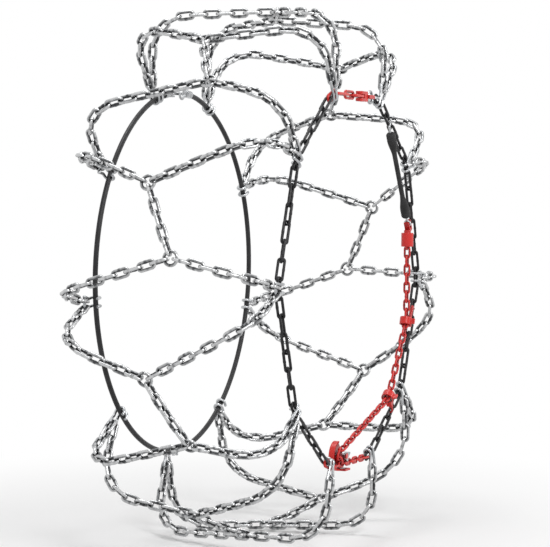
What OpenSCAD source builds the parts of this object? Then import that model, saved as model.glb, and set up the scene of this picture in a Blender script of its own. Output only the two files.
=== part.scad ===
// Snow chain, drawn as it sits when fitted and pulled tight.
// Its axis runs along Y, the outer side faces -Y and Z is up.

/* [Fitted size] */
// radius of the running face the net is laid over
fit_radius = 358; // [335:1:385]
// width over both sides of the space inside the net
fit_width = 262; // [240:1:285]
// bend of the chain line from the running face to the side
shoulder = 48; // [44:1:60]

/* [Tread net] */
// wire thickness of the galvanised links
tread_wire = 4.3; // [3.9:0.1:4.6]
// play left between two hooked links
tread_play = 0.6; // [0.5:0.05:0.8]
// link length the runs are counted out with
tread_pitch = 18.4; // [17.8:0.1:19.5]
// radius of a tread ring to the middle of its wire
ring_radius = 9.2; // [9:0.1:10.5]
// how far the leading rings sit towards the outer side
lead_shift = 29; // [22:1:34]
// how far the trailing rings sit towards the inner side
trail_shift = 14; // [8:1:20]
// half the angle a diamond spans between its two rings
half_span = 12.4; // [11.8:0.1:12.8]
// turn of the net about the axis
net_turn = -5; // [-7:0.5:-3]

/* [Side chain] */
// wire thickness of the black side chain
side_wire = 3.6; // [3.2:0.1:3.9]
// play left between two side links
side_play = 0.5; // [0.4:0.05:0.6]
// length of one side link from hold to hold
side_pitch = 24.8; // [24:0.1:25.6]
// radius of the side chain at the knots
side_radius = 263; // [257:1:268]
// turn of the side chain about the axis
side_turn = -2.4; // [-3.5:0.1:-1.5]
// angle left for the closing hook at the top
top_gap = 40; // [38:0.5:42]

/* [Knot hooks] */
// wire thickness of the knot hooks
hook_wire = 4.2; // [3.8:0.1:4.4]
// half the distance between the two shanks of a hook
hook_half = 5.5; // [5.2:0.1:5.8]
// reach of a hook from the side chain to its bar
hook_reach = 20; // [19:0.5:22]
// half the width of the bar that holds the tread links
bar_half = 10.5; // [10.2:0.1:11.5]

/* [Inner hoop] */
// radius of the inner hoop
hoop_radius = 255; // [250:1:259]
// thickness of the sleeved cable of the hoop
hoop_wire = 7; // [6:0.1:8]
// half the angle the hoop is open at its coupling
hoop_open = 7; // [6.5:0.1:8]

/* [Tension chain] */
// wire thickness of the red tension chain
pull_wire = 3.2; // [3:0.1:3.3]
// play left between two red links
pull_play = 0.5; // [0.45:0.05:0.6]
// link length of the red tension chain
pull_pitch = 13; // [12.6:0.1:13.6]
// outer size of the guide sleeves the tension chain runs through
sleeve_size = 17.8; // [17.2:0.1:18.8]

/* [Hidden] */
$fn = 24;
diamonds = 9;
step = 360 / diamonds;
snug = 0.4;
tread_bow = tread_wire + tread_play;
side_bow = side_wire + side_play;
pull_bow = pull_wire + pull_play;
lift = tread_bow + tread_wire / 2 + 0.45;
face_r = fit_radius + lift;
side_y = fit_width / 2 + lift;
edge = side_y - shoulder;
side_r = face_r - shoulder;
turn_end = edge + shoulder * PI / 2;
shank_bend = side_wire / 2 + hook_wire / 2 + snug;
chain_y = -(side_y - shank_bend);
long_run = 38.54;
short_run = 32.87;
long_links = round(2 * side_radius * sin(long_run / 2) / side_pitch);
short_links = round(2 * side_radius * sin(short_run / 2) / side_pitch);
knot_1 = 90 + side_turn + top_gap / 2;
knots = [
    knot_1,
    knot_1 + short_run,
    knot_1 + short_run + long_run,
    knot_1 + short_run + 2 * long_run,
    knot_1 + 2 * short_run + 2 * long_run,
    knot_1 + 360 - top_gap - 2 * short_run - 2 * long_run,
    knot_1 + 360 - top_gap - short_run - 2 * long_run,
    knot_1 + 360 - top_gap - short_run - long_run,
    knot_1 + 360 - top_gap - short_run,
    knot_1 + 360 - top_gap
];
GALVANISED = [0.78, 0.79, 0.80];
BLACK = [0.07, 0.07, 0.08];
RED = [0.85, 0.12, 0.08];
STEEL = [0.62, 0.63, 0.65];

function unit(v) = v / norm(v);
function square_to(v, d) = unit(v - d * (v * d));
function ring_spot(r, a, y) = [r * cos(a), y, r * sin(a)];
function radial(a) = [cos(a), 0, sin(a)];
function tangent(a) = [-sin(a), 0, cos(a)];
function tilt_of(s) = abs(s) < edge ? 0 : abs(s) < turn_end ? (abs(s) - edge) * 180 / (PI * shoulder) : 90;
function line_r(s) = abs(s) < turn_end ? side_r + shoulder * cos(tilt_of(s)) : side_r - abs(s) + turn_end;
function line_y(s) = sign(s) * (abs(s) < edge ? abs(s) : edge + shoulder * sin(tilt_of(s)));
function line_spot(s, a) = ring_spot(line_r(s), a, line_y(s));
function line_up(s, a) = radial(a) * cos(tilt_of(s)) + [0, sign(s) * sin(tilt_of(s)), 0];
function between(a, b, i) = a + (b - a) * i / 40;
function line_pts(s0, a0, s1, a1) =
    [for (i = [0:40]) line_spot(between(s0, s1, i), between(a0, a1, i))];
function line_ups(s0, a0, s1, a1) =
    [for (i = [0:40]) line_up(between(s0, s1, i), between(a0, a1, i))];
function gap_after(P, i) = norm(P[min(i + 1, len(P) - 1)] - P[i]);
function reach_to(P) = [for (i = 0, l = 0; i < len(P); l = l + gap_after(P, i), i = i + 1) l];
function along(P, L, a) = [for (k = [0:2]) lookup(a, [for (i = [0:len(P) - 1]) [L[i], P[i][k]]])];
function mark(j, pitch, bow, first) =
    ceil((j + first) / 2) * (pitch - bow) + floor((j + first) / 2) * (pitch + bow) - first * (pitch - bow);
function odd_count(l, pitch) = 2 * round((l / pitch - 1) / 2) + 1;
function even_count(l, pitch) = 2 * round(l / pitch / 2);
function neat(v) = round(v * 500) / 500;

module link_leg(c, y, wire) {
    translate([-c / 2, y, 0])
        rotate([0, 90, 0])
            cylinder(d = wire, h = c);
}

module link_bow(c, wire, bow) {
    translate([c / 2, 0, 0])
        rotate([0, 0, -90])
            rotate_extrude(angle = 180)
                translate([bow, 0])
                    circle(d = wire);
}

// a link lying along x in the plane of x and y, c between the centres of its bows
module link(length, wire, bow) {
    c = neat(length);
    link_leg(c, -bow, wire);
    link_leg(c, bow, wire);
    link_bow(c, wire, bow);
    rotate([0, 0, 180])
        link_bow(c, wire, bow);
}

// puts a child in the frame of the directions x and y at a spot
module placed(spot, x, y) {
    z = cross(x, y);
    multmatrix([
        [x[0], y[0], z[0], spot[0]],
        [x[1], y[1], z[1], spot[1]],
        [x[2], y[2], z[2], spot[2]],
        [0, 0, 0, 1]
    ])
        children();
}

// links hooked one into the next from mark to mark, upright ones and flat ones in turn
module chain(V, U, wire, bow, first) {
    for (j = [0:len(V) - 2]) {
        x = unit(V[j + 1] - V[j]);
        up = square_to(U[j] + U[j + 1], x);
        upright = (j + first) % 2 == 0;
        placed((V[j] + V[j + 1]) / 2, x, upright ? up : cross(up, x))
            link(norm(V[j + 1] - V[j]) - (upright ? 0 : 2 * bow), wire, bow);
    }
}

// a run of tread links between two marks of the chain line, s across and a round the axis
module tread_run(s0, a0, s1, a1, from, short) {
    P = line_pts(s0, a0, s1, a1);
    N = line_ups(s0, a0, s1, a1);
    L = reach_to(P);
    l = L[40] - from - short;
    n = odd_count(l + tread_bow, tread_pitch);
    pitch = (l + tread_bow) / n;
    M = [for (j = [0:n]) from + mark(j, pitch, tread_bow, 0)];
    chain([for (m = M) along(P, L, m)], [for (m = M) along(N, L, m)], tread_wire, tread_bow, 0);
}

// a straight rod from spot to spot
module rod(a, b, wire) {
    z = unit(b - a);
    x = square_to(abs(z[0]) < 0.7 ? [1, 0, 0] : [0, 1, 0], z);
    placed(a, x, cross(z, x))
        cylinder(d = wire, h = norm(b - a));
}

// the rounded turn of a rod
module turn(a, wire) {
    translate(a)
        sphere(d = wire * 1.03);
}

// a bent-wire hook: two shanks hook round what passes at y = hold, the bar at the top holds tread links
module wire_hook(lean, hold, bend) {
    neck = hold + bend + 2;
    top = (hook_reach - neck) * [sin(lean), cos(lean), 0];
    half = bar_half * [cos(lean), -sin(lean), 0];
    ends = [for (k = [-1, 1]) [0, neck, 0] + top + k * half];
    for (k = [0, 1]) {
        x = (2 * k - 1) * hook_half;
        translate([x, hold, -2 * bend])
            rotate([-90, 0, 0])
                cylinder(d = hook_wire, h = 6);
        translate([x, hold, -bend])
            rotate([0, 90, 0])
                rotate([0, 0, 180])
                    rotate_extrude(angle = 180)
                        translate([bend, 0])
                            circle(d = hook_wire);
        translate([x, hold, 0])
            rotate([-90, 0, 0])
                cylinder(d = hook_wire, h = neck - hold);
        turn([x, neck, 0], hook_wire);
        rod([x, neck, 0], ends[k], hook_wire);
        turn(ends[k], hook_wire);
    }
    rod(ends[0], ends[1], hook_wire);
}

// where the net and the side chain sit
function diamond(k) = 270 + net_turn + (k - 5) * step;
function lead_angle(k) = diamond(k) - half_span;
function trail_angle(k) = diamond(k) + half_span;
function knot_of(k, trail) = knots[k < 5 ? k - 1 : k > 5 ? k : 4 + trail];
function lean_to(r, a, to, far) = atan(r * (to - a) * PI / 180 / (turn_end + side_r - r + far));
function lead_lean(r, a, k, side) = lean_to(r, a, lead_angle(k), side * lead_shift);
function trail_lean(r, a, k, side) = lean_to(r, a, trail_angle(k), -side * trail_shift);
bar_r = side_radius + hook_reach;
clip_r = hoop_radius + hook_reach;
outer_neck = -side_bow + shank_bend + 2;
clip_bend = hoop_wire / 2 + hook_wire / 2 + snug;
clip_neck = clip_bend + 2;
pair_off = tread_wire;
function knot_lean(k, trail) =
    k == 5
        ? (trail == 1 ? trail_lean(bar_r, knots[5], 5, -1) : lead_lean(bar_r, knots[4], 5, -1))
        : (lead_lean(bar_r, knot_of(k, 0), k, -1) + trail_lean(bar_r, knot_of(k, 0), k, -1)) / 2;
function clip_lean(k) = (lead_lean(clip_r, diamond(k), k, 1) + trail_lean(clip_r, diamond(k), k, 1)) / 2;
function bar_end(r, a, lean, neck, off) =
    let (x = (hook_reach - neck) * sin(lean) + off * cos(lean))
    let (m = r + neck + (hook_reach - neck) * cos(lean) - off * sin(lean))
    [turn_end + side_r - norm([m, x]), a + atan2(x, m)];

module tread_ring(s, a) {
    placed(line_spot(s, a), tangent(a), [0, 1, 0])
        rotate_extrude()
            translate([ring_radius, 0])
                circle(d = tread_wire);
}

// one diamond on the outer side: its two rings and the runs from them to the knot hooks
module outer_runs(k) {
    off = k == 5 ? 0 : pair_off;
    lead = bar_end(side_radius, knot_of(k, 0), knot_lean(k, 0), outer_neck, -off);
    trail = bar_end(side_radius, knot_of(k, 1), knot_lean(k, 1), outer_neck, off);
    tread_ring(-lead_shift, lead_angle(k));
    tread_ring(trail_shift, trail_angle(k));
    tread_run(-lead_shift, lead_angle(k), -lead[0], lead[1], ring_radius, 0);
    tread_run(trail_shift, trail_angle(k) - (k == 5 ? 0.45 : 0), -trail[0], trail[1], ring_radius, 0);
}

// one diamond on the inner side: the runs from its rings to the hoop clip
module inner_runs(k) {
    lead = bar_end(hoop_radius, diamond(k), clip_lean(k), clip_neck, -pair_off);
    trail = bar_end(hoop_radius, diamond(k), clip_lean(k), clip_neck, pair_off);
    tread_run(-lead_shift, lead_angle(k), lead[0], lead[1], ring_radius, 0);
    tread_run(trail_shift, trail_angle(k), trail[0], trail[1], ring_radius, 0);
}

// the short chain from one diamond to the next
module cross_chain(k) {
    tread_run(trail_shift, trail_angle(k), -lead_shift, lead_angle(k + 1), ring_radius, ring_radius);
}

module knot_hook(a, lean) {
    placed(ring_spot(side_radius, a, -side_y), -tangent(a), radial(a))
        wire_hook(-lean, -side_bow, shank_bend);
}

module hoop_clip(k) {
    placed(ring_spot(hoop_radius, diamond(k), side_y), tangent(diamond(k)), radial(diamond(k)))
        wire_hook(clip_lean(k), 0, clip_bend);
}

// side chain
side_c = side_pitch - side_bow;
function knot_spot(i) = ring_spot(side_radius, knots[i], chain_y);
function knot_head(i) = knot_spot(i) + tangent(knots[i]) * side_c / 2;
function knot_tail(i) = knot_spot(i) - tangent(knots[i]) * side_c / 2;
function run_from(i) = knot_head(i);
function run_dir(i) = unit(knot_tail(i + 1) - knot_head(i));
function run_pitch(i, count) = (norm(knot_tail(i + 1) - knot_head(i)) - side_bow) / (count - 1);
function run_mid(i, count, j) = run_from(i) + run_dir(i) * ((j - 0.5) * run_pitch(i, count) + side_bow / 2);
function side_roll(j, count) = j <= 2 ? 90 * j : 180 + (j - 2) * 180 * round((count - 2) / 2) / (count - 2);

module knot_link(i) {
    placed(knot_spot(i), tangent(knots[i]), radial(knots[i]))
        link(side_c, side_wire, side_bow);
}

// the links between two knots, rolled so that the chain reaches both knots lying flat
module side_links(i, count, back) {
    x = run_dir(i);
    flat = cross([0, 1, 0], x);
    for (j = [1:count - 1]) {
        roll = side_roll(back ? count - j : j, count);
        placed(run_mid(i, count, j), x, flat * cos(roll) + [0, sin(roll), 0])
            link(run_pitch(i, count) - side_bow, side_wire, side_bow);
    }
}

// closing hook at the top, drawn along x from the hold of the first red link, y outwards
shut_from = knot_tail(0);
shut_to = knot_head(9);
shut_dir = unit(shut_to - shut_from);
shut_len = neat(norm(shut_to - shut_from));
shut_wire = 4;
shut_bow = shut_wire + 0.5;
eye_ring = 8;
eye_link = 12;
eye_x = shut_len - side_bow - eye_link - 2 * eye_ring;
shut_pin = eye_x - 33;
shut_room = shut_pin - side_bow;
shut_first = 0.38 * shut_room;
shut_flat = 0.35 * shut_room;
shut_second = 0.27 * shut_room;

module shut_frame() {
    placed(shut_from, shut_dir, [0, -1, 0])
        children();
}

module flat_ring(x, r, wire) {
    translate([x, 0, 0])
        rotate([90, 0, 0])
            rotate_extrude()
                translate([r, 0])
                    circle(d = wire);
}

module shut_links() {
    translate([side_bow + shut_first / 2, 0, 0])
        link(shut_first, shut_wire, shut_bow);
    translate([side_bow + shut_first + shut_flat / 2, 0, 0])
        rotate([90, 0, 0])
            link(shut_flat - 2 * shut_bow, shut_wire, shut_bow);
    translate([shut_pin - shut_second / 2, 0, 0])
        link(shut_second, shut_wire, shut_bow);
}

module shut_eye_parts() {
    flat_ring(eye_x + eye_ring, eye_ring, shut_wire);
    translate([eye_x + 2 * eye_ring + eye_link / 2, 0, 0])
        link(eye_link, shut_wire, shut_bow);
}

module shut_hook_body() {
    body_end = eye_x - 15;
    difference() {
        translate([0, 0, -7])
            linear_extrude(height = 14)
                union() {
                    translate([shut_pin, 0])
                        circle(d = 11);
                    translate([shut_pin, -5.5])
                        square([body_end - shut_pin, 11]);
                    translate([body_end, 0])
                        circle(d = 11);
                }
        translate([shut_pin - 7, -10, -2.5])
            cube([14.4, 20, 5]);
    }
    translate([shut_pin, 0, -6.5])
        cylinder(d = 3.8, h = 13);
    translate([0, 0, -2.6])
        linear_extrude(height = 5.2)
            difference() {
                union() {
                    translate([body_end, -4])
                        square([eye_x - body_end, 12]);
                    translate([eye_x, 0])
                        square([3.4 + 3.6, 8]);
                    translate([eye_x + 3.4, -4.6])
                        square([3.6, 6]);
                }
                translate([eye_x, 0])
                    circle(r = shut_wire / 2 + 0.9);
                translate([eye_x - shut_wire / 2 - 0.9, -10])
                    square([shut_wire + 1.8, 10]);
            }
}

// tension lock at the bottom, drawn along x from the hold of the red knot link, y to the axis, z outwards
lock_from = knot_head(4);
lock_to = knot_tail(5);
lock_x = unit(lock_to - lock_from);
lock_y = cross([0, -1, 0], lock_x);
turn_x = 33;
turn_r = 11;
function lock_spot(x, y, z) = lock_from + lock_x * x + lock_y * y + [0, -z, 0];

module lock_frame() {
    placed(lock_from, lock_x, lock_y)
        children();
}

// the tension chain: from the hold at the right, round the lock, past both guides to the end piece
pull_y = chain_y - 4;
low_at = knots[5] + 0.66834 * short_run;
low_mid = ring_spot(side_radius - 38.04, low_at, pull_y);
low_dir = tangent(low_at - 2.75);
high_at = knots[6] + 0.5653 * long_run;
high_mid = ring_spot(side_radius - 40.21, high_at, pull_y);
high_dir = tangent(high_at + 0.56);
end_at = knots[7] + 0.37237 * long_run;
end_mid = ring_spot(side_radius - 45.74, end_at, pull_y);
guide_half = 8;
pull_line = concat(
    [lock_to],
    [for (a = [-90:-15:-270]) lock_spot(turn_x + turn_r * cos(a), turn_r + turn_r * sin(a), (-a - 90) / 45)],
    [low_mid - low_dir * guide_half, low_mid + low_dir * guide_half],
    [high_mid - high_dir * guide_half, high_mid + high_dir * guide_half],
    [end_mid]
);
pull_reach = reach_to(pull_line);
pull_count = even_count(pull_reach[len(pull_line) - 1], pull_pitch);
pull_step = pull_reach[len(pull_line) - 1] / pull_count;
pull_marks = [for (j = [0:pull_count]) along(pull_line, pull_reach, mark(j, pull_step, pull_bow, 1))];
pull_ups = [
    for (j = [0:pull_count])
        cross([0, 1, 0], unit(pull_marks[min(j + 1, pull_count)] - pull_marks[max(j - 1, 0)]))
];
pull_split = 2 * floor(pull_count * 0.56 / 2);

module pull_chain(j0, j1) {
    chain(
        [for (j = [j0:j1]) pull_marks[j]],
        [for (j = [j0:j1]) pull_ups[j]],
        pull_wire,
        pull_bow,
        (j0 + 1) % 2
    );
}

module lock_shell() {
    for (k = [-1, 1])
        translate([side_bow, 0, k * 4.2])
            rotate([0, 90, 0])
                cylinder(d = 3.8, h = 13.4);
    translate([side_bow, 0, 0])
        rotate([90, 0, 0])
            rotate([0, 0, 90])
                rotate_extrude(angle = 180)
                    translate([4.2, 0])
                        circle(d = 3.8);
    translate([turn_x, turn_r, -9.5])
        rotate([0, 0, 90])
            rotate_extrude(angle = 180)
                translate([17.6, 0])
                    square([3, 8]);
    translate([turn_x, -9.6, -9.5])
        cube([19, 3, 17.5]);
    translate([0, 0, -9.5])
        linear_extrude(height = 2.5)
            union() {
                translate([turn_x, turn_r])
                    circle(r = 20.2);
                translate([turn_x, -9.2])
                    square([19, 27]);
            }
    translate([turn_x, turn_r, -8])
        cylinder(d = 3.8, h = 17);
    translate([turn_x, turn_r, 8.6])
        cylinder(d = 7, h = 1.6);
    translate([pawl_x, pawl_y, -8])
        cylinder(d = 3.8, h = 14.2);
    translate([pawl_x, pawl_y, 5.2])
        cylinder(d = 6.4, h = 1.4);
}

pawl_x = 43.5;
pawl_y = 11.5;
lock_room = norm(lock_to - lock_from) - (pull_step + pull_bow) / 2;
nose_x = lock_room - 2 * pull_step * floor((lock_room - pawl_x - 2) / (2 * pull_step));

module pawl_body() {
    translate([0, 0, -4.6])
        linear_extrude(height = 9.4)
            difference() {
                union() {
                    translate([pawl_x, pawl_y])
                        circle(d = 8);
                    polygon([
                        [pawl_x - 2, pawl_y - 3.4],
                        [nose_x - 1.9, 2.3],
                        [nose_x + 1.7, 2.3],
                        [nose_x + 3.4, 8],
                        [nose_x + 10, 12],
                        [nose_x + 10, 14.4],
                        [pawl_x, pawl_y + 3.9]
                    ]);
                }
                translate([pawl_x, pawl_y])
                    circle(d = 4.6);
            }
}

// a small catch that reaches over a side link leg at the origin and drops into the link, x to the axis
catch_wire = 3.4;
catch_run = 6;
catch_tip = 2;

module catch_end() {
    translate([-side_bow, 0, -catch_tip])
        cylinder(d = catch_wire, h = catch_tip);
    rotate([90, 0, 0])
        rotate([0, 0, 90])
            rotate_extrude(angle = 90)
                translate([side_bow, 0])
                    circle(d = catch_wire);
    translate([0, 0, side_bow])
        rotate([0, 90, 0])
            cylinder(d = catch_wire, h = catch_run);
}

function in_dir(i) = -cross([0, 1, 0], run_dir(i));
function leg_spot(i, count) = run_mid(i, count, count - 2) + in_dir(i) * side_bow;
function catch_spot(i, count) = leg_spot(i, count) + in_dir(i) * catch_run + [0, -side_bow, 0];

module catch_on(i, count) {
    placed(leg_spot(i, count), in_dir(i), cross([0, -1, 0], in_dir(i)))
        catch_end();
}

module sleeve(spot, dir, from, length, size) {
    placed(spot, cross([0, 1, 0], dir), [0, 1, 0])
        translate([0, 0, from])
            cylinder(d = size, h = length);
}

// a guide: a sleeve round the tension chain, its cheek, and an arm with a catch on the side chain
module chain_guide(spot, dir, i, count) {
    to = catch_spot(i, count);
    side = square_to(to - spot, dir);
    catch_on(i, count);
    turn(to, 5);
    rod(to, spot + side * 13, 5);
    difference() {
        union() {
            sleeve(spot, dir, -5.5, 11, sleeve_size);
            placed(spot, dir, side)
                translate([-5, 0, -4])
                    cube([10, 16, 8]);
            placed(spot, dir, [0, -1, 0])
                translate([-4, sleeve_size / 2 - 1, -1.3])
                    cube([8, 6, 2.6]);
        }
        sleeve(spot, dir, -9, 18, sleeve_size - 3.2);
    }
}

// the end piece of the tension chain and the rubber tensioner that pulls it up
end_dir = unit(end_mid - pull_line[len(pull_line) - 2]);
strap_from = end_mid + end_dir * 25;
strap_to = catch_spot(8, short_links);
strap_dir = unit(strap_to - strap_from);
strap_len = neat(norm(strap_to - strap_from));
strap_pin = 3.6;
strap_eye = strap_pin / 2 + catch_wire / 2 + snug;

// x along the strap, y outwards
module strap_frame() {
    placed(strap_from, strap_dir, square_to([0, -1, 0], strap_dir))
        children();
}

module end_body() {
    difference() {
        union() {
            sleeve(end_mid, end_dir, -9, 20, sleeve_size);
            sleeve(end_mid, end_dir, 8, 7, 10);
        }
        sleeve(end_mid, end_dir, -12, 19, sleeve_size - 3.6);
    }
    rod(end_mid - [0, sleeve_size / 2 - 0.6, 0], end_mid + [0, sleeve_size / 2 - 0.6, 0], 3.2);
    strap_frame() {
        for (k = [-1, 1])
            translate([-13, -4, k * 3.9 - 1.2])
                cube([16.5, 8, 2.4]);
        translate([-13, -4, -5.1])
            cube([5, 8, 10.2]);
        translate([0, 0, -4.5])
            cylinder(d = strap_pin, h = 9);
    }
}

module strap_low() {
    rotate_extrude()
        translate([strap_eye, 0])
            circle(d = catch_wire);
    translate([strap_eye, 0, 0])
        rotate([0, 90, 0])
            cylinder(d = catch_wire, h = 22);
}

module strap_body() {
    reach = strap_len - 22;
    translate([11, 0, 0])
        rotate([0, 90, 0])
            rotate_extrude()
                polygon([
                    [2, 0],
                    [5.6, 0],
                    [7, 2.4],
                    [7, 12],
                    [5.2, 22],
                    [3.4, 33],
                    [3.4, reach - 33],
                    [5.2, reach - 22],
                    [7, reach - 12],
                    [7, reach - 2.4],
                    [5.6, reach],
                    [2, reach],
                    [2, reach - 15],
                    [0, reach - 15],
                    [0, 16],
                    [2, 16]
                ]);
}

module strap_high() {
    catch_on(8, short_links);
    turn(strap_to, catch_wire);
    strap_frame()
        translate([strap_len - 25, 0, 0])
            rotate([0, 90, 0])
                cylinder(d = catch_wire, h = 25);
}

// inner hoop and its coupling, x from the left end to the right end, y to the inner side
hoop_y = side_y - clip_bend;
hoop_left = ring_spot(hoop_radius, 90 + hoop_open, hoop_y);
hoop_right = ring_spot(hoop_radius, 90 - hoop_open, hoop_y);
hoop_gap = neat(norm(hoop_right - hoop_left));
ferrule = hoop_wire + 4;
hinge_x = 10;
eye_near = hoop_gap - 22;
eye_wire = 3.6;

module hoop_frame() {
    placed(hoop_left, [1, 0, 0], [0, 1, 0])
        children();
}

module hoop_body() {
    placed([0, hoop_y, 0], radial(90 + hoop_open), tangent(90 + hoop_open))
        rotate_extrude(angle = 360 - 2 * hoop_open)
            translate([hoop_radius, 0])
                circle(d = hoop_wire);
}

module hoop_ferrule(swing) {
    difference() {
        rotate([0, swing, 0])
            translate([0, 0, -3])
                cylinder(d = ferrule, h = 15);
        rotate([0, swing, 0])
            translate([0, 0, -0.4])
                cylinder(d = hoop_wire + 0.9, h = 20);
    }
}

module hoop_fork() {
    difference() {
        translate([1, -4.4, -4.8])
            cube([hinge_x + 4.2, 8.8, 9.6]);
        translate([hinge_x - 6.4, -10, -2.2])
            cube([20, 20, 4.4]);
    }
    translate([hinge_x, 0, -4])
        cylinder(d = strap_pin, h = 8);
}

module hoop_fittings() {
    hoop_frame() {
        hoop_ferrule(-90 - hoop_open);
        hoop_fork();
        translate([hoop_gap, 0, 0])
            hoop_ferrule(90 + hoop_open);
        translate([hoop_gap - 7.6, -3, -3])
            cube([6.6, 6, 6]);
        translate([eye_near + 7.2, 0, 0])
            rotate([90, 0, 0])
                rotate_extrude()
                    translate([7.2, 0])
                        circle(d = eye_wire);
    }
}

// the flat hook of the coupling, cut from one bar
module hoop_catch() {
    reach_x = eye_near - catch_run;
    inner = side_bow - catch_wire / 2;
    outer = side_bow + catch_wire / 2;
    translate([0, 0, -1.8])
        linear_extrude(height = 3.6)
            difference() {
                union() {
                    translate([hinge_x, 0])
                        circle(d = 11.2);
                    polygon([
                        [hinge_x, -2.4],
                        [reach_x, inner],
                        [eye_near, inner],
                        [eye_near, outer],
                        [reach_x, outer],
                        [hinge_x, 3.2]
                    ]);
                    translate([eye_near, 0])
                        intersection() {
                            circle(r = outer);
                            square([outer, outer]);
                        }
                    translate([eye_near + inner, -catch_tip])
                        square([catch_wire, catch_tip]);
                }
                translate([hinge_x, 0])
                    circle(d = strap_pin + 0.8);
                translate([eye_near, 0])
                    circle(r = inner);
            }
}

module outer_runs_1() {
    color(GALVANISED)
        outer_runs(1);
}

module outer_runs_2() {
    color(GALVANISED)
        outer_runs(2);
}

module outer_runs_3() {
    color(GALVANISED)
        outer_runs(3);
}

module outer_runs_4() {
    color(GALVANISED)
        outer_runs(4);
}

module outer_runs_5() {
    color(GALVANISED)
        outer_runs(5);
}

module outer_runs_6() {
    color(GALVANISED)
        outer_runs(6);
}

module outer_runs_7() {
    color(GALVANISED)
        outer_runs(7);
}

module outer_runs_8() {
    color(GALVANISED)
        outer_runs(8);
}

module outer_runs_9() {
    color(GALVANISED)
        outer_runs(9);
}

module inner_runs_1() {
    color(GALVANISED)
        inner_runs(1);
}

module inner_runs_2() {
    color(GALVANISED)
        inner_runs(2);
}

module inner_runs_3() {
    color(GALVANISED)
        inner_runs(3);
}

module inner_runs_4() {
    color(GALVANISED)
        inner_runs(4);
}

module inner_runs_5() {
    color(GALVANISED)
        inner_runs(5);
}

module inner_runs_6() {
    color(GALVANISED)
        inner_runs(6);
}

module inner_runs_7() {
    color(GALVANISED)
        inner_runs(7);
}

module inner_runs_8() {
    color(GALVANISED)
        inner_runs(8);
}

module inner_runs_9() {
    color(GALVANISED)
        inner_runs(9);
}

module cross_chain_1() {
    color(GALVANISED)
        cross_chain(1);
}

module cross_chain_2() {
    color(GALVANISED)
        cross_chain(2);
}

module cross_chain_3() {
    color(GALVANISED)
        cross_chain(3);
}

module cross_chain_4() {
    color(GALVANISED)
        cross_chain(4);
}

module cross_chain_5() {
    color(GALVANISED)
        cross_chain(5);
}

module cross_chain_6() {
    color(GALVANISED)
        cross_chain(6);
}

module cross_chain_7() {
    color(GALVANISED)
        cross_chain(7);
}

module cross_chain_8() {
    color(GALVANISED)
        cross_chain(8);
}

module cross_chain_9() {
    color(GALVANISED)
        cross_chain(9);
}

module side_run_1() {
    color(BLACK) {
        side_links(0, short_links, false);
        knot_link(1);
    }
}

module side_run_2() {
    color(BLACK) {
        side_links(1, long_links, false);
        knot_link(2);
    }
}

module side_run_3() {
    color(BLACK) {
        side_links(2, long_links, false);
        knot_link(3);
    }
}

module side_run_4() {
    color(BLACK)
        side_links(3, short_links, false);
}

module side_run_5() {
    color(BLACK) {
        side_links(5, short_links, true);
        knot_link(5);
        knot_link(6);
    }
}

module side_run_6() {
    color(BLACK) {
        side_links(6, long_links, true);
        knot_link(7);
    }
}

module side_run_7() {
    color(BLACK) {
        side_links(7, long_links, false);
        knot_link(8);
    }
}

module side_run_8() {
    color(BLACK) {
        side_links(8, short_links, true);
        knot_link(9);
    }
}

module knot_hooks_left() {
    color(STEEL)
        for (k = [2:4])
            knot_hook(knot_of(k, 0), knot_lean(k, 0));
}

module knot_hooks_right() {
    color(STEEL)
        for (k = [6:8])
            knot_hook(knot_of(k, 0), knot_lean(k, 0));
}

module knot_hooks_ends() {
    color(STEEL) {
        for (k = [1, 9])
            knot_hook(knot_of(k, 0), knot_lean(k, 0));
        for (k = [0, 1])
            knot_hook(knot_of(5, k), knot_lean(5, k));
    }
}

module hoop_clips_left() {
    color(STEEL)
        for (k = [1:3])
            hoop_clip(k);
}

module hoop_clips_low() {
    color(STEEL)
        for (k = [4:6])
            hoop_clip(k);
}

module hoop_clips_right() {
    color(STEEL)
        for (k = [7:9])
            hoop_clip(k);
}

module inner_hoop() {
    color(BLACK)
        hoop_body();
}

module hoop_ends() {
    color(STEEL)
        hoop_fittings();
}

module hoop_hook() {
    color(STEEL)
        hoop_frame()
            hoop_catch();
}

module shut_link() {
    color(RED)
        knot_link(0);
}

module shut_chain() {
    color(RED)
        shut_frame()
            shut_links();
}

module shut_hook() {
    color(RED)
        shut_frame()
            shut_hook_body();
}

module shut_eye() {
    color(STEEL)
        shut_frame()
            shut_eye_parts();
}

module lock_link() {
    color(RED)
        knot_link(4);
}

module lock_body() {
    color(RED)
        lock_frame()
            lock_shell();
}

module lock_roller() {
    color(STEEL)
        lock_frame()
            translate([turn_x, turn_r, -6.6])
                difference() {
                    cylinder(d = 8, h = 14.8);
                    translate([0, 0, -1])
                        cylinder(d = 4.6, h = 17);
                }
}

module lock_pawl() {
    color(STEEL)
        lock_frame()
            pawl_body();
}

module pull_chain_low() {
    color(RED)
        pull_chain(0, pull_split);
}

module pull_chain_high() {
    color(RED)
        pull_chain(pull_split, pull_count);
}

module guide_low() {
    color(RED)
        chain_guide(low_mid, low_dir, 5, short_links);
}

module guide_high() {
    color(RED)
        chain_guide(high_mid, high_dir, 6, long_links);
}

module pull_end() {
    color(RED)
        end_body();
}

module strap() {
    color(BLACK)
        strap_frame()
            strap_body();
}

module strap_hook_low() {
    color(STEEL)
        strap_frame()
            strap_low();
}

module strap_hook_high() {
    color(STEEL)
        strap_high();
}

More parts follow.
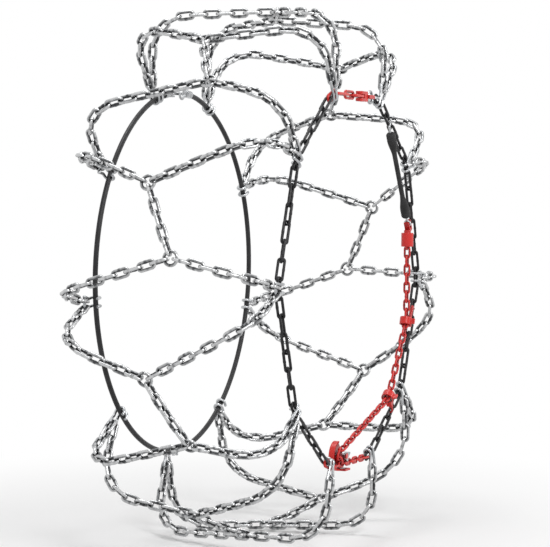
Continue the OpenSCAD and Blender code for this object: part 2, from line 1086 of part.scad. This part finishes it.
outer_runs_1();
outer_runs_2();
outer_runs_3();
outer_runs_4();
outer_runs_5();
outer_runs_6();
outer_runs_7();
outer_runs_8();
outer_runs_9();
inner_runs_1();
inner_runs_2();
inner_runs_3();
inner_runs_4();
inner_runs_5();
inner_runs_6();
inner_runs_7();
inner_runs_8();
inner_runs_9();
cross_chain_1();
cross_chain_2();
cross_chain_3();
cross_chain_4();
cross_chain_5();
cross_chain_6();
cross_chain_7();
cross_chain_8();
cross_chain_9();
side_run_1();
side_run_2();
side_run_3();
side_run_4();
side_run_5();
side_run_6();
side_run_7();
side_run_8();
knot_hooks_left();
knot_hooks_right();
knot_hooks_ends();
hoop_clips_left();
hoop_clips_low();
hoop_clips_right();
inner_hoop();
hoop_ends();
hoop_hook();
shut_link();
shut_chain();
shut_hook();
shut_eye();
lock_link();
lock_body();
lock_roller();
lock_pawl();
pull_chain_low();
pull_chain_high();
guide_low();
guide_high();
pull_end();
strap();
strap_hook_low();
strap_hook_high();
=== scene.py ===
import math

import bpy
import numpy as np
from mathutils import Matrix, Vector


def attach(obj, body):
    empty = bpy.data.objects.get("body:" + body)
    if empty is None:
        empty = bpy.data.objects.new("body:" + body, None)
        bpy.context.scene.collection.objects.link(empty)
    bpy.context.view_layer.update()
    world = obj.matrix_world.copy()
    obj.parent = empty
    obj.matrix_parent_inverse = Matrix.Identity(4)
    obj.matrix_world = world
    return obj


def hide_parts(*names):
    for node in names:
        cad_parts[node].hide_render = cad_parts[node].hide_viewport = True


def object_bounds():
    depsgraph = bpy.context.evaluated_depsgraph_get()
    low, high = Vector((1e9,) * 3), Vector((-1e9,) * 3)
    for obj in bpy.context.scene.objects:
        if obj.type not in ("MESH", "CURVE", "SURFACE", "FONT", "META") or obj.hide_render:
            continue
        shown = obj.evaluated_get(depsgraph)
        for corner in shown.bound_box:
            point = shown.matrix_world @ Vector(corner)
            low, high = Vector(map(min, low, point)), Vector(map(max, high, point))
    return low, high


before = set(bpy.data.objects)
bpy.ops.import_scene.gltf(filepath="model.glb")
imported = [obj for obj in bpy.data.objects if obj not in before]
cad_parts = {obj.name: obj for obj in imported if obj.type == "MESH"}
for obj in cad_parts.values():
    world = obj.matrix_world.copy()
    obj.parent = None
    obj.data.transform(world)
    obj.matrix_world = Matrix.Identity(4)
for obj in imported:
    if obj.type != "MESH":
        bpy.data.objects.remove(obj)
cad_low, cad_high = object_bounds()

# Tread net: short links of hardened steel wire with a rounded-square section, bent, butt welded
# on one leg and hot-dip galvanised. The zinc is lighter outside the links, as wear, and darker inside, as
# painted shade.
# Three runs of links meet in each plain wire ring, and a short chain joins each diamond to the next.
DIAMONDS = 9
WIRE_SIDES = 14
END_STATIONS = 15
RING_SLACK = 0.0003  # metres: a piece that is hardly longer than wide is a ring
SPOT_DECIMALS = 6  # of a metre: spots that agree so far are one
ROUND_WIRE = 2.0  # power of the section: 2 is a round wire, more is a squarer one
TREAD_WIRE = 2.7
WIRE_FILL = 0.985  # thickness of a squarer wire as a share of the solid's
ROUND_END = 1.0  # bend of a link's corners as a share of its half width
# Places along the welded leg, in wire thicknesses, and how far the weld swells the wire there
WELD_SWELL = ((0.7, 1.0), (0.42, 1.05), (0.2, 1.13), (0.0, 1.1), (-0.2, 1.13), (-0.42, 1.05), (-0.7, 1.0))
WELD_DULL = 3.0


def loose_pieces(node):
    """The separate pieces of a node, each as the spots of its surface."""
    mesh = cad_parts[node].data
    spots = np.empty(len(mesh.vertices) * 3)
    mesh.vertices.foreach_get("co", spots)
    spots, same = np.unique(np.round(spots.reshape(-1, 3), SPOT_DECIMALS), axis=0, return_inverse=True)
    ends = np.empty(len(mesh.edges) * 2, int)
    mesh.edges.foreach_get("vertices", ends)
    ends = same.ravel()[ends].reshape(-1, 2)
    group = np.arange(len(spots))
    while True:
        low = np.minimum(group[ends[:, 0]], group[ends[:, 1]])
        joined = group.copy()
        np.minimum.at(joined, ends[:, 0], low)
        np.minimum.at(joined, ends[:, 1], low)
        joined = joined[joined]
        if (joined == group).all():
            return [spots[group == g] for g in np.unique(group)]
        group = joined


def lie_of(spots):
    """Middle of a piece, its long, wide and thick directions, and its size along them."""
    centre = spots.mean(0)
    axes = np.linalg.eigh(np.cov((spots - centre).T))[1][:, ::-1].T
    if np.linalg.det(axes) < 0:
        axes[2] *= -1
    local = (spots - centre) @ axes.T
    return centre + (local.max(0) + local.min(0)) / 2 @ axes, axes, np.ptp(local, axis=0)


def link_line(length, half, bend, wire, welded_leg):
    """Stations round a link: place, outward direction and swell of the wire.

    The legs count as 1 and 2, and with 0 neither has a weld.
    """
    stations = []
    for end in (0, 1):
        turn = math.pi * end
        way = np.array([math.cos(turn), math.sin(turn)])
        side = np.array([-way[1], way[0]])
        for degrees in np.linspace(-90, 90, END_STATIONS):
            angle = math.radians(degrees)
            out = way * math.cos(angle) + side * math.sin(angle)
            corner = way * (length / 2 - bend) + side * ((half - bend) * np.sign(round(degrees)))
            stations.append((corner + out * bend, out, 1.0))
        if welded_leg == end + 1:
            for along, swell in WELD_SWELL:
                stations.append((way * along * wire + side * half, side, swell))
    return stations


def wire_mesh(stations, wire, section):
    """Closed tube along flat stations, and a tone per spot: worn outside, painted shade inside, dull at
    the weld.
    """
    around = np.linspace(0, 2 * math.pi, WIRE_SIDES, endpoint=False) + math.pi / WIRE_SIDES
    c, s = np.cos(around), np.sin(around)
    reach = (np.abs(c) ** section + np.abs(s) ** section) ** (-1 / section) * wire / 2
    spots, wear_and_shade, faces = [], [], []
    for spot, out, swell in stations:
        for u, v in zip(reach * c * swell, reach * s * swell):
            spots.append((spot[0] + out[0] * u, spot[1] + out[1] * u, v))
        # Lighter outside the link as wear, darker inside as painted shade where the links cross, dull at
        # the weld
        wear_and_shade.append(0.5 + 0.5 * c - WELD_DULL * (swell - 1.0))
    for i in range(len(stations)):
        here, there = i * WIRE_SIDES, (i + 1) % len(stations) * WIRE_SIDES
        for j in range(WIRE_SIDES):
            k = (j + 1) % WIRE_SIDES
            faces.append((here + j, there + j, there + k, here + k))
    return np.array(spots), faces, np.concatenate(wear_and_shade)


def add_piece(name, mesh, node, body, finish):
    mesh.shade_smooth()
    mesh.materials.clear()
    mesh.materials.append(finish)
    piece = bpy.data.objects.new(name, mesh)
    bpy.context.scene.collection.objects.link(piece)
    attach(piece, body)
    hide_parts(node)


def chain_piece(name, node, body, finish, section, end_bend=ROUND_END):
    """Every link and ring of a node as drawn wire, with the weld on one leg and the other in turn."""
    spots, faces, wear_and_shade, count = [], [], [], 0
    for i, solid in enumerate(loose_pieces(node)):
        middle, axes, size = lie_of(solid)
        wire = size[2]
        length, half = size[0] - wire, (size[1] - wire) / 2
        if size[0] - size[1] < RING_SLACK:
            line = link_line(length, half, half, wire, 0)
            part, quads, link_wear_and_shade = wire_mesh(line, wire, ROUND_WIRE)
        else:
            line = link_line(length, half, half * end_bend, wire, 1 + i % 2)
            part, quads, link_wear_and_shade = wire_mesh(line, wire * WIRE_FILL, section)
        spots.append(part @ axes + middle)
        wear_and_shade.append(link_wear_and_shade)
        faces += [tuple(v + count for v in quad) for quad in quads]
        count += len(part)
    mesh = bpy.data.meshes.new(name)
    mesh.from_pydata(np.concatenate(spots), [], faces)
    # Tone per spot: wear outside each link, painted shade inside it
    mesh.attributes.new("wear_and_shade", "FLOAT", "POINT").data.foreach_set("value", np.concatenate(wear_and_shade))
    add_piece(name, mesh, node, body, finish)


def bare_finish(name):
    finish = bpy.data.materials.new(name)
    finish.use_nodes = True
    tree = finish.node_tree
    tree.nodes.clear()
    out = tree.nodes.new("ShaderNodeOutputMaterial")
    shader = tree.nodes.new("ShaderNodeBsdfPrincipled")
    tree.links.new(shader.outputs["BSDF"], out.inputs["Surface"])
    return finish, tree, shader


def mottle(tree, clouds, detail=3.0):
    """Soft clouds, so many to the metre."""
    place = tree.nodes.new("ShaderNodeTexCoord")
    cloud = tree.nodes.new("ShaderNodeTexNoise")
    cloud.inputs["Scale"].default_value = clouds
    cloud.inputs["Detail"].default_value = detail
    tree.links.new(place.outputs["Object"], cloud.inputs["Vector"])
    return cloud.outputs["Fac"]


def tinted(tree, fac, tones):
    band = tree.nodes.new("ShaderNodeValToRGB")
    while len(band.color_ramp.elements) < len(tones):
        band.color_ramp.elements.new(0.5)
    for element, (at, colour) in zip(band.color_ramp.elements, tones):
        element.position = at
        element.color = (*colour, 1.0)
    tree.links.new(fac, band.inputs["Fac"])
    return band.outputs["Color"]


def spread(tree, fac, low, high, cloud_low=0.3, cloud_high=0.7):
    """Clouds, which lie nearly all between cloud_low and cloud_high, spread from low to high."""
    scale = tree.nodes.new("ShaderNodeMapRange")
    scale.inputs["From Min"].default_value = cloud_low
    scale.inputs["From Max"].default_value = cloud_high
    scale.inputs["To Min"].default_value = low
    scale.inputs["To Max"].default_value = high
    tree.links.new(fac, scale.inputs["Value"])
    return scale.outputs["Result"]


def wear_and_painted_shade(tree, clouds, uneven):
    """Tone from wear outside and painted shade inside a piece, broken up by clouds."""
    wear_and_shade = tree.nodes.new("ShaderNodeAttribute")
    wear_and_shade.attribute_name = "wear_and_shade"
    total = tree.nodes.new("ShaderNodeMath")
    total.operation = "ADD"
    tree.links.new(wear_and_shade.outputs["Fac"], total.inputs[0])
    tree.links.new(spread(tree, mottle(tree, clouds), -uneven, uneven), total.inputs[1])
    return total.outputs["Value"]


def grained(tree, shader, grain, depth, strength=0.5):
    bump = tree.nodes.new("ShaderNodeBump")
    bump.inputs["Strength"].default_value = strength
    bump.inputs["Distance"].default_value = depth
    tree.links.new(mottle(tree, grain), bump.inputs["Height"])
    tree.links.new(bump.outputs["Normal"], shader.inputs["Normal"])


def coated(name, tones, clouds, rough, rough_clouds, grain, depth, wear_and_shade=None, metal=0.0, shine=0.5):
    """Finish with clouded tones, uneven roughness and a fine grain, all counted to the metre.

    With that amount given, the tones go by the wear outside and the painted shade inside the piece, made
    uneven by that much.
    """
    finish, tree, shader = bare_finish(name)
    shader.inputs["Metallic"].default_value = metal
    shader.inputs["Specular IOR Level"].default_value = shine
    # Tones by wear and painted shade where the piece has them, otherwise by clouds alone
    fac = wear_and_painted_shade(tree, clouds, wear_and_shade) if wear_and_shade else mottle(tree, clouds)
    tree.links.new(tinted(tree, fac, tones), shader.inputs["Base Color"])
    tree.links.new(spread(tree, mottle(tree, rough_clouds), *rough), shader.inputs["Roughness"])
    grained(tree, shader, grain, depth)
    return finish


# Zinc tones run from near black, painted shade inside the links, to light grey where the outsides are worn
zinc = coated(
    "galvanised zinc",
    tones=[
        (0.05, (0.06, 0.062, 0.065)),
        (0.4, (0.2, 0.205, 0.21)),
        (0.7, (0.39, 0.395, 0.4)),
        (1.0, (0.56, 0.565, 0.57)),
    ],
    clouds=170.0,
    wear_and_shade=0.22,
    rough=(0.16, 0.34),
    rough_clouds=420.0,
    grain=900.0,
    depth=0.00012,
    metal=1.0,
)
for run, links in (
    ("outer_runs", "outer_links"),
    ("inner_runs", "inner_links"),
    ("cross_chain", "cross_links"),
):
    for k in range(1, DIAMONDS + 1):
        node = "%s_%d" % (run, k)
        body = node if run == "cross_chain" else "net"
        chain_piece("%s_%d" % (links, k), node, body, zinc, TREAD_WIRE)

# Side chain: long welded links of squarer wire with tight ends, dipped in black lacquer.
# Its runs go from knot to knot round the outer side, down from the closing hook to the lock.
SIDE_RUNS = 8
SIDE_WIRE = 2.9
TIGHT_END = 0.72
black = coated(
    "black lacquer",
    tones=[(0.35, (0.008, 0.008, 0.009)), (0.7, (0.022, 0.022, 0.024))],
    clouds=120.0,
    rough=(0.28, 0.48),
    rough_clouds=300.0,
    grain=700.0,
    depth=0.0002,
    shine=0.3,
)
for k in range(1, SIDE_RUNS + 1):
    chain_piece("side_links_%d" % k, "side_run_%d" % k, "net", black, SIDE_WIRE, TIGHT_END)


# Inner hoop: spring cable in a smooth black sleeve, open at the top.
# Its ends are pressed into the ferrules of the coupling.
def refinish(node, finish):
    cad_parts[node].data.materials.clear()
    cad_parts[node].data.materials.append(finish)


sleeve = coated(
    "hoop sleeve",
    tones=[(0.35, (0.014, 0.014, 0.015)), (0.7, (0.028, 0.028, 0.03))],
    clouds=60.0,
    rough=(0.35, 0.5),
    rough_clouds=200.0,
    grain=500.0,
    depth=0.0001,
    shine=0.3,
)
refinish("inner_hoop", sleeve)

# Knot hooks and hoop clips: spring wire bent round the side chain and round the hoop.
# The bar at the top of each holds the last links of two runs. Bending and plating leave no sharp edge.
plated = coated(
    "bright plating",
    tones=[(0.3, (0.30, 0.31, 0.32)), (0.7, (0.58, 0.59, 0.60))],
    clouds=90.0,
    rough=(0.14, 0.32),
    rough_clouds=500.0,
    grain=1200.0,
    depth=0.0001,
    metal=1.0,
)


def eased_piece(name, node, body, finish, voxel=0.00035, rounds=10):
    """The node's shape, every sharp edge and inner corner eased; worn facing out, painted shade facing in.
    """
    sharp = bpy.data.objects.new(name + "_sharp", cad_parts[node].data.copy())
    bpy.context.scene.collection.objects.link(sharp)
    skin = sharp.modifiers.new("skin", "REMESH")
    skin.mode = "VOXEL"
    skin.voxel_size = voxel
    ease = sharp.modifiers.new("ease", "SMOOTH")
    ease.iterations = rounds
    mesh = bpy.data.meshes.new_from_object(sharp.evaluated_get(bpy.context.evaluated_depsgraph_get()))
    mesh.name = name
    bpy.data.objects.remove(sharp)
    spots = np.empty(len(mesh.vertices) * 3)
    mesh.vertices.foreach_get("co", spots)
    spots = spots.reshape(-1, 3) - spots.reshape(-1, 3).mean(0)
    facing = np.empty(len(mesh.vertices) * 3)
    mesh.vertices.foreach_get("normal", facing)
    outward = (facing.reshape(-1, 3) * spots).sum(1) / np.linalg.norm(spots, axis=1)
    # Lighter where the surface faces out of the piece, as wear, darker where it faces in, as painted shade
    mesh.attributes.new("wear_and_shade", "FLOAT", "POINT").data.foreach_set("value", 0.5 + 0.5 * outward)
    add_piece(name, mesh, node, body, finish)


for place in ("left", "right", "ends"):
    eased_piece("wire_hooks_" + place, "knot_hooks_" + place, "net", plated)
for place in ("left", "low", "right"):
    eased_piece("wire_clips_" + place, "hoop_clips_" + place, "net", plated)

# Coupling of the hoop, in bright plated steel: two pressed ferrules, one with a forged fork
# and a flat hook on a pin, the other with a wire eye that the hook drops into.
eased_piece("coupling", "hoop_ends", "net", plated)
eased_piece("coupling_hook", "hoop_hook", "hoop_hook", plated, voxel=0.00025, rounds=6)

# Closing hook, in steel lacquered red. From the link at its knot, a long link and two shorter ones
# carry the forged hook body on a pin. The hook drops into a small bright ring, which a link holds
# at the other end of the side chain.
LIGHT_WIRE = 2.5
FINE_VOXEL = 0.0003
# Red tones run from deep red, painted shade on inner faces, to lighter red on the outward faces, as wear
red = coated(
    "red lacquer",
    tones=[(0.1, (0.20, 0.003, 0.003)), (0.45, (0.42, 0.008, 0.007)), (0.9, (0.62, 0.018, 0.013))],
    clouds=120.0,
    wear_and_shade=0.16,
    rough=(0.22, 0.4),
    rough_clouds=350.0,
    grain=800.0,
    depth=0.00015,
)
chain_piece("closing_link", "shut_link", "net", red, SIDE_WIRE, TIGHT_END)
chain_piece("closing_links", "shut_chain", "shut_chain", red, LIGHT_WIRE)
eased_piece("closing_hook", "shut_hook", "shut_hook", red, FINE_VOXEL)
chain_piece("closing_eye", "shut_eye", "net", plated, LIGHT_WIRE)

# Tension lock: a housing folded from thick steel sheet and lacquered red, with a roller on a pin
# at its turn and a sprung pawl that lets the chain through one way.
chain_piece("lock_hold", "lock_link", "net", red, SIDE_WIRE, TIGHT_END)
eased_piece("lock_housing", "lock_body", "net", red)
eased_piece("lock_catch", "lock_pawl", "lock_pawl", plated, FINE_VOXEL)
refinish("lock_roller", plated)

# Tension chain: small welded links, lacquered red, from the right-hand knot round the lock and up
# the side. Two guides keep it near the side chain, and the tensioner pulls on its end piece.
for place in ("low", "high"):
    chain_piece("pull_links_" + place, "pull_chain_" + place, "net", red, LIGHT_WIRE)
    eased_piece("chain_guide_" + place, "guide_" + place, "guide_" + place, red, FINE_VOXEL)
eased_piece("chain_end", "pull_end", "net", red, FINE_VOXEL)

# Tensioner: a moulded black rubber strap with a bulb and two grooves at each end and a seam
# from its mould along the shank. The bright wire hooks are let into its ends.
MM = 0.001
STRAP_SIDES = 48
STRAP_STEP = 0.4  # this and the sizes below are in millimetres
BULB_RADIUS = 6.9
SHANK_RADIUS = 3.4
END_FACE = 4.4
END_ROUND = 4.0
GROOVES = (5.6, 9.4)
GROOVE_DEPTH = 0.5
GROOVE_HALF = 1.1
TAPER = (11.0, 38.0)
MOULD_SEAM = 0.22
rubber = coated(
    "moulded rubber",
    tones=[(0.3, (0.014, 0.014, 0.014)), (0.7, (0.032, 0.032, 0.033))],
    clouds=70.0,
    rough=(0.55, 0.75),
    rough_clouds=260.0,
    grain=600.0,
    depth=0.0003,
    shine=0.3,
)


def strap_radius(x):
    """Radius at x from the nearer end: rounded end, two grooves, bulb, and a long taper to the shank."""
    if x < END_ROUND:
        return END_FACE + (BULB_RADIUS - END_FACE) * math.sqrt(1 - (1 - x / END_ROUND) ** 2)
    along = min(max((x - TAPER[0]) / (TAPER[1] - TAPER[0]), 0.0), 1.0)
    radius = SHANK_RADIUS + (BULB_RADIUS - SHANK_RADIUS) * (0.5 + 0.5 * math.cos(math.pi * along))
    for groove in GROOVES:
        off = min(abs(x - groove) / GROOVE_HALF, 1.0)
        radius -= GROOVE_DEPTH * (0.5 + 0.5 * math.cos(math.pi * off))
    return radius


def strap_mesh(middle, axes, length):
    steps = round(length / MM / STRAP_STEP)
    spots, faces = [], []
    for i in range(steps + 1):
        x = (i / steps - 0.5) * length
        radius = strap_radius((length / 2 - abs(x)) / MM)
        for k in range(STRAP_SIDES):
            turn = 2 * math.pi * k / STRAP_SIDES
            seam = MOULD_SEAM if k % (STRAP_SIDES // 2) == 0 and radius < END_FACE else 0.0
            spots.append((x, (radius + seam) * math.cos(turn) * MM, (radius + seam) * math.sin(turn) * MM))
    for i in range(steps):
        here, there = i * STRAP_SIDES, (i + 1) * STRAP_SIDES
        for j in range(STRAP_SIDES):
            k = (j + 1) % STRAP_SIDES
            faces.append((here + j, here + k, there + k, there + j))
    faces.append(tuple(reversed(range(STRAP_SIDES))))
    faces.append(tuple(steps * STRAP_SIDES + k for k in range(STRAP_SIDES)))
    mesh = bpy.data.meshes.new("rubber_strap")
    mesh.from_pydata(np.array(spots) @ axes + middle, [], faces)
    return mesh


strap_middle, strap_axes, strap_size = lie_of(loose_pieces("strap")[0])
strap = strap_mesh(strap_middle, strap_axes, strap_size[0])
add_piece("rubber_strap", strap, "strap", "tensioner", rubber)
for place in ("low", "high"):
    eased_piece("strap_wire_" + place, "strap_hook_" + place, "tensioner", plated, FINE_VOXEL)

# Pale studio floor that the lowest links touch. Close by it takes their shadow,
# further off it runs out into the plain white of the studio.
FLOOR_DROP = 0.0003
FLOOR_HALF = 9.0
FLOOR_FADE = (0.42, 0.95)  # distances from the middle of the chain
FLOOR_GREY = (0.9, 0.9, 0.9, 1.0)
STUDIO_WHITE = (1.0, 1.0, 1.0, 1.0)


def seen_straight(tree):
    """One where a ray comes from the camera or from a mirror-like or clear surface."""
    path = tree.nodes.new("ShaderNodeLightPath")
    seen = path.outputs["Is Camera Ray"]
    for kind in ("Is Glossy Ray", "Is Transmission Ray"):
        either = tree.nodes.new("ShaderNodeMath")
        either.operation = "MAXIMUM"
        tree.links.new(seen, either.inputs[0])
        tree.links.new(path.outputs[kind], either.inputs[1])
        seen = either.outputs[0]
    return seen


floor_mesh = bpy.data.meshes.new("floor")
floor_corners = [
    (x * FLOOR_HALF, y * FLOOR_HALF, cad_low.z - FLOOR_DROP)
    for x, y in ((-1, -1), (1, -1), (1, 1), (-1, 1))
]
floor_mesh.from_pydata(floor_corners, [], [(0, 1, 2, 3)])
floor = bpy.data.objects.new("floor", floor_mesh)
bpy.context.scene.collection.objects.link(floor)
paper, tree, shader = bare_finish("pale paper")
shader.inputs["Base Color"].default_value = FLOOR_GREY
shader.inputs["Roughness"].default_value = 0.9
shader.inputs["Specular IOR Level"].default_value = 0.1
white = tree.nodes.new("ShaderNodeEmission")
white.inputs["Color"].default_value = STUDIO_WHITE
spot = tree.nodes.new("ShaderNodeTexCoord")
away = tree.nodes.new("ShaderNodeVectorMath")
away.operation = "LENGTH"
tree.links.new(spot.outputs["Object"], away.inputs[0])
fade = tree.nodes.new("ShaderNodeMapRange")
fade.interpolation_type = "SMOOTHSTEP"
fade.inputs["From Min"].default_value = FLOOR_FADE[0]
fade.inputs["From Max"].default_value = FLOOR_FADE[1]
tree.links.new(away.outputs["Value"], fade.inputs["Value"])
both = tree.nodes.new("ShaderNodeMath")
both.operation = "MULTIPLY"
tree.links.new(fade.outputs["Result"], both.inputs[0])
tree.links.new(seen_straight(tree), both.inputs[1])
mixed = tree.nodes.new("ShaderNodeMixShader")
tree.links.new(both.outputs[0], mixed.inputs["Fac"])
tree.links.new(shader.outputs["BSDF"], mixed.inputs[1])
tree.links.new(white.outputs["Emission"], mixed.inputs[2])
tree.links.new(mixed.outputs["Shader"], tree.nodes["Material Output"].inputs["Surface"])
floor_mesh.materials.append(paper)

# Soft studio light: a broad lamp from the front left, one from above, one from the right
# and an even sky, at a level where a colour comes out about as it is.
SKY_LEVEL = 0.42
WALL_LEVEL = 1.0
world = bpy.data.worlds.new("studio")
bpy.context.scene.world = world
world.use_nodes = True
tree = world.node_tree
sky = tree.nodes["Background"]
sky.inputs["Color"].default_value = STUDIO_WHITE
sky.inputs["Strength"].default_value = SKY_LEVEL
wall = tree.nodes.new("ShaderNodeBackground")
wall.inputs["Color"].default_value = STUDIO_WHITE
wall.inputs["Strength"].default_value = WALL_LEVEL
mixed = tree.nodes.new("ShaderNodeMixShader")
tree.links.new(seen_straight(tree), mixed.inputs["Fac"])
tree.links.new(sky.outputs["Background"], mixed.inputs[1])
tree.links.new(wall.outputs["Background"], mixed.inputs[2])
tree.links.new(mixed.outputs["Shader"], tree.nodes["World Output"].inputs["Surface"])


def lamp(name, spot, size, power):
    """Round lamp that looks at the middle of the chain, with its size in metres and its power in watts."""
    light = bpy.data.lights.new(name, "AREA")
    light.shape = "DISK"
    light.size = size
    light.energy = power
    holder = bpy.data.objects.new(name, light)
    holder.location = spot
    holder.rotation_mode = "QUATERNION"
    holder.rotation_quaternion = Vector(spot).to_track_quat("Z", "Y")
    bpy.context.scene.collection.objects.link(holder)


lamp("key lamp", spot=(-1.9, -1.9, 2.1), size=1.1, power=42.0)
lamp("top lamp", spot=(0.2, 0.3, 2.6), size=1.4, power=30.0)
lamp("side lamp", spot=(1.2, -2.5, 0.9), size=0.9, power=18.0)

# Camera: a long lens from over three metres off, nearly level, that looks at the running face
# from the left of the outer side. Focal length and shift are in pixels of a picture 550 wide.
IMAGE_WIDTH = 550.0
FOCAL_LENGTH = 2302.0
SHIFT_RIGHT = 12.0
SHIFT_UP = 1.36
SENSOR_WIDTH = 36.0
CAMERA_TURN = math.radians(-66.864)
CAMERA_RISE = math.radians(4.355)
CAMERA_AWAY = 3.2278
SEEN_TO = 50.0
level = math.cos(CAMERA_RISE)
back = Vector((math.sin(CAMERA_TURN) * level, -math.cos(CAMERA_TURN) * level, math.sin(CAMERA_RISE)))
camera = bpy.data.objects.new("camera", bpy.data.cameras.new("camera"))
camera.location = back * CAMERA_AWAY
camera.rotation_mode = "QUATERNION"
camera.rotation_quaternion = back.to_track_quat("Z", "Y")
camera.data.sensor_fit = "HORIZONTAL"
camera.data.sensor_width = SENSOR_WIDTH
camera.data.lens = SENSOR_WIDTH * FOCAL_LENGTH / IMAGE_WIDTH
camera.data.shift_x = SHIFT_RIGHT / IMAGE_WIDTH
camera.data.shift_y = SHIFT_UP / IMAGE_WIDTH
camera.data.clip_end = SEEN_TO
bpy.context.scene.collection.objects.link(camera)
bpy.context.scene.camera = camera
bpy.context.scene.view_settings.view_transform = "Standard"
